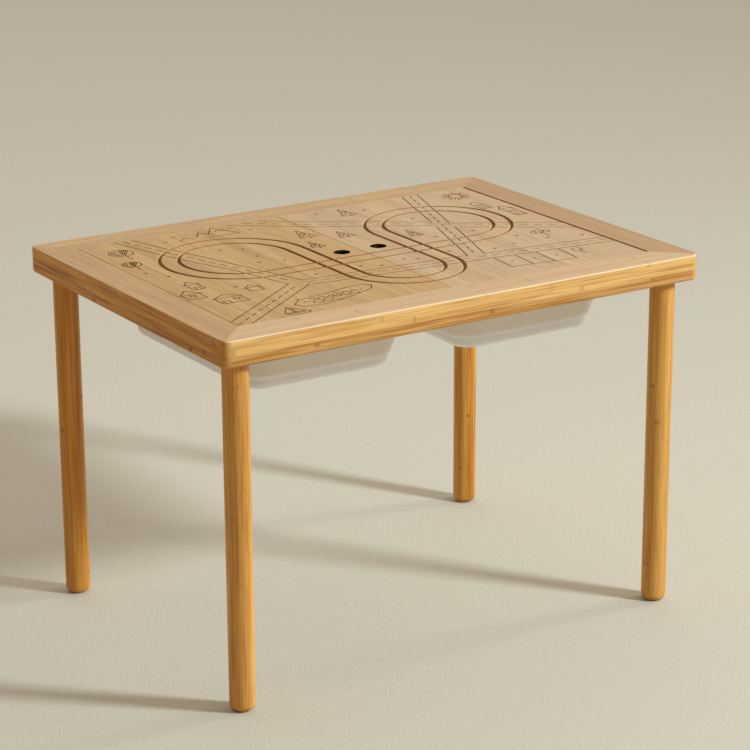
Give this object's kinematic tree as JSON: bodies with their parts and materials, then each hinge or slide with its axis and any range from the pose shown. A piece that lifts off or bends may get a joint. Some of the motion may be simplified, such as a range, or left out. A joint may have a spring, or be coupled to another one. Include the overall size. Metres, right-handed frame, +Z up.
{
  "type": "kids activity table",
  "caption": "Low bamboo play table: mitred frame on round screw-in legs, lift-out boards routed with a train track, drop-in plastic trays below.",
  "frame": {"origin": "on the floor, under the middle of the table", "axes": "+X along the table's length to the right, +Y to the back, +Z up"},
  "size_m": [0.73, 0.536, 0.5],
  "materials": {
    "frame_bamboo": "satin",
    "leg_bamboo": "satin",
    "board_bamboo": "satin",
    "ledge_wood": "satin",
    "dowel_wood": "matte",
    "tray_plastic": "satin",
    "steel": "satin"
  },
  "bodies": {
    "frame": {"front_rail": "frame_bamboo", "back_rail": "frame_bamboo", "left_end_rail": "frame_bamboo", "right_end_rail": "frame_bamboo", "centre_rail": "frame_bamboo", "front_ledge_left": "ledge_wood", "back_ledge_left": "ledge_wood", "end_ledge_left": "ledge_wood", "centre_ledge_left": "ledge_wood", "front_ledge_right": "ledge_wood", "back_ledge_right": "ledge_wood", "end_ledge_right": "ledge_wood", "centre_ledge_right": "ledge_wood", "ledge_screws": "steel", "mitre_dowels": "dowel_wood", "centre_rail_dowels": "dowel_wood", "leg_front_left": "leg_bamboo", "leg_front_right": "leg_bamboo", "leg_back_left": "leg_bamboo", "leg_back_right": "leg_bamboo", "leg_bolts": "steel", "leg_inserts": "steel"},
    "left_lid": {"left_board": "board_bamboo"},
    "right_lid": {"right_board": "board_bamboo"},
    "left_bin": {"left_tray": "tray_plastic"},
    "right_bin": {"right_tray": "tray_plastic"}
  },
  "joints": [
    {"name": "left_board_lift", "type": "slide", "parent": "frame", "child": "left_lid", "axis": [0, 0, 1], "range_m": [0, 0.25]},
    {"name": "left_tray_lift", "type": "slide", "parent": "frame", "child": "left_bin", "axis": [0, 0, 1], "range_m": [0, 0.125]},
    {"name": "right_board_lift", "type": "slide", "parent": "frame", "child": "right_lid", "axis": [0, 0, 1], "range_m": [0, 0.25]},
    {"name": "right_tray_lift", "type": "slide", "parent": "frame", "child": "right_bin", "axis": [0, 0, 1], "range_m": [0, 0.125]}
  ],
  "couplings": [
    {"joint": "left_tray_lift", "follows": "left_board_lift", "ratio": 0.5},
    {"joint": "right_tray_lift", "follows": "right_board_lift", "ratio": 0.5}
  ]
}
